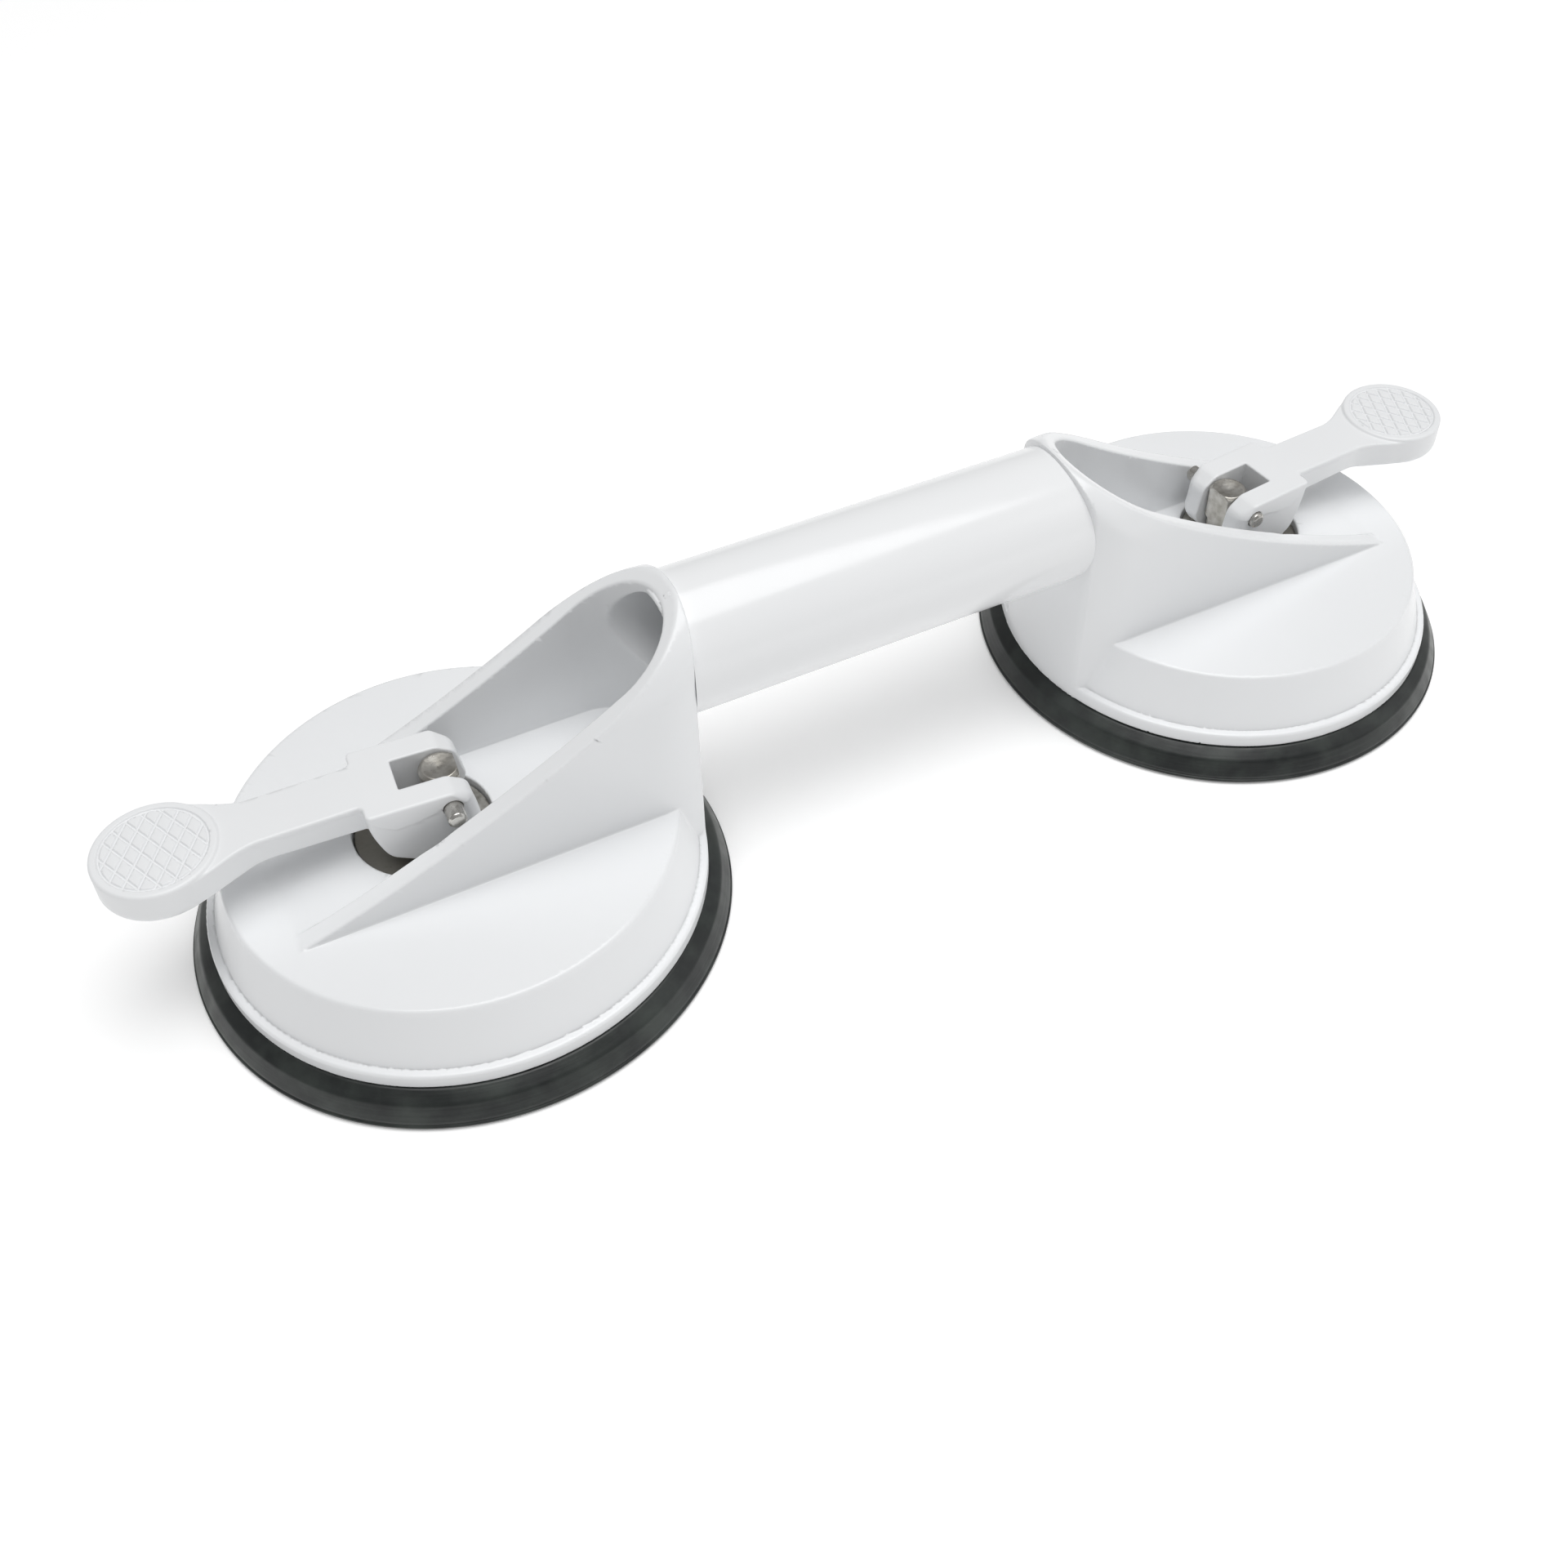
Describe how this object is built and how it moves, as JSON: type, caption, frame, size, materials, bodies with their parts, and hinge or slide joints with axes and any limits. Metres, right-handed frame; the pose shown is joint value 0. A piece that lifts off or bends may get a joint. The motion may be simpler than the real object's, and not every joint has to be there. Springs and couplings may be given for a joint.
{
  "type": "suction grab bar",
  "caption": "Wall grab bar: a short round hand grip between two lever-locked rubber suction cups under hooded plastic covers.",
  "frame": {"origin": "on the wall side, in the plane of the sealing lips of both cups, midway between the two cup centres", "axes": "+X along the hand grip from the left cup to the right cup, +Z away from the wall, +Y across the grip"},
  "size_m": [0.3411, 0.1182, 0.072],
  "materials": {
    "white_plastic": "glossy moulded white",
    "white_tube": "smooth glossy white",
    "lever_plastic": "semi-gloss moulded white",
    "black_rubber": "smooth black rubber with a soft sheen",
    "dull_steel": "dull brownish zinc-coated steel",
    "bright_steel": "bright turned steel",
    "spring_steel": "drawn spring wire"
  },
  "bodies": {
    "frame": {"grab_tube": "white_tube", "left_housing": "white_plastic", "right_housing": "white_plastic", "left_wear_washer": "dull_steel", "right_wear_washer": "dull_steel"},
    "left_swivel": {"left_spring_washer": "bright_steel", "left_spring": "spring_steel"},
    "left_cup": {"left_suction_cup": "black_rubber", "left_insert_plate": "dull_steel", "left_stud": "bright_steel", "left_lock_nut": "bright_steel", "left_cross_pin": "bright_steel"},
    "left_lever": {"left_lever": "lever_plastic"},
    "right_swivel": {"right_spring_washer": "bright_steel", "right_spring": "spring_steel"},
    "right_cup": {"right_suction_cup": "black_rubber", "right_insert_plate": "dull_steel", "right_stud": "bright_steel", "right_lock_nut": "bright_steel", "right_cross_pin": "bright_steel"},
    "right_lever": {"right_lever": "lever_plastic"}
  },
  "joints": [
    {"name": "left_stud_swivel", "type": "hinge", "parent": "frame", "child": "left_swivel", "pos_m": [-0.101, 0, 0.0133], "axis": [0, 0, 1], "range_deg": [-11, 19]},
    {"name": "left_cup_lift", "type": "slide", "parent": "left_swivel", "child": "left_cup", "axis": [0, 0, 1], "range_m": [-0.0064, 0], "stiffness_N_per_m": 120, "springref_m": -0.012, "deforming": ["left_spring"]},
    {"name": "left_lever_hinge", "type": "hinge", "parent": "left_cup", "child": "left_lever", "pos_m": [-0.101, 0, 0.0399], "axis": [0.0698, 0.9976, 0], "range_deg": [0, 80]},
    {"name": "right_stud_swivel", "type": "hinge", "parent": "frame", "child": "right_swivel", "pos_m": [0.101, 0, 0.0133], "axis": [0, 0, 1], "range_deg": [-21.4, 8.6]},
    {"name": "right_cup_lift", "type": "slide", "parent": "right_swivel", "child": "right_cup", "axis": [0, 0, 1], "range_m": [-0.0064, 0], "stiffness_N_per_m": 120, "springref_m": -0.012, "deforming": ["right_spring"]},
    {"name": "right_lever_hinge", "type": "hinge", "parent": "right_cup", "child": "right_lever", "pos_m": [0.101, 0, 0.0399], "axis": [0.1115, -0.9938, 0], "range_deg": [0, 80]}
  ],
  "couplings": [
    {"joint": "left_cup_lift", "follows": "left_lever_hinge", "m_per_rad": -0.0045836},
    {"joint": "right_cup_lift", "follows": "right_lever_hinge", "m_per_rad": -0.0045836}
  ]
}
